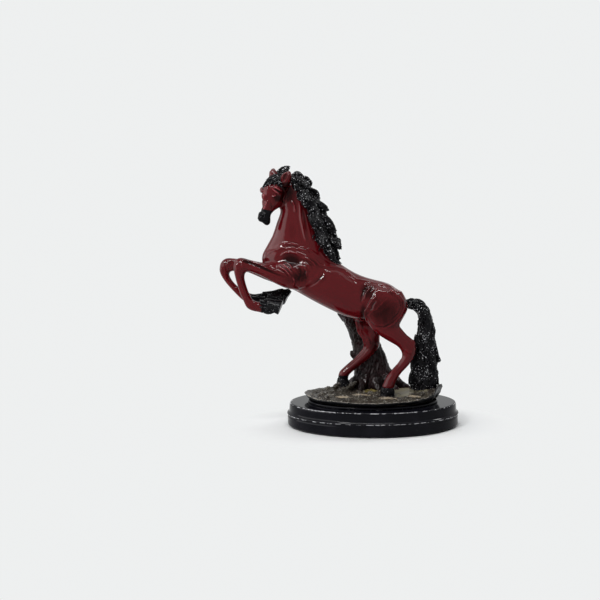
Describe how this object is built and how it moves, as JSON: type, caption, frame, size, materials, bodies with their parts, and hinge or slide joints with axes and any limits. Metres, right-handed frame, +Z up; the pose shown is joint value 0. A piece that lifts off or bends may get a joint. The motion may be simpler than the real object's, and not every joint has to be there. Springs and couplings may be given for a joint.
{
  "type": "horse figurine",
  "caption": "Rearing horse in deep red lacquer with black mane, tail and hooves, beside a dead tree trunk on a rock slab and a black oval plinth.",
  "frame": {"origin": "centre of the felt underside, on the surface that the figurine stands on", "axes": "+Z up; -X is the way the horse faces; +Y towards the horse's right side; the plinth's long axis is X"},
  "size_m": [0.2352, 0.11, 0.2507],
  "materials": {
    "felt": "short black felt",
    "plinth_black": "gloss black lacquer",
    "steel": "bright zinc",
    "rock": "painted olive brown, dry brushed",
    "straw": "painted straw",
    "bark": "dark brown wash, satin",
    "lacquer": "deep red gloss lacquer over a dark wash",
    "eye": "gloss",
    "horse_black": "gloss black"
  },
  "bodies": {
    "root": {"felt_pad": "felt", "plinth": "plinth_black", "collar": "plinth_black", "base_screws": "steel", "leg_wires": "steel", "ground_slab": "rock", "hoof_rock": "rock", "stones": "rock", "twigs": "straw", "tree_trunk": "bark", "body": "lacquer", "head": "lacquer", "ear_left": "lacquer", "ear_right": "lacquer", "foreleg_left": "lacquer", "foreleg_right": "lacquer", "hind_leg_left": "lacquer", "hind_leg_right": "lacquer", "eye_left": "eye", "eye_right": "eye", "forelock": "horse_black", "mane": "horse_black", "tail": "horse_black", "front_hoof_left": "horse_black", "front_hoof_right": "horse_black", "hind_hoof_left": "horse_black", "hind_hoof_right": "horse_black"}
  },
  "joints": []
}
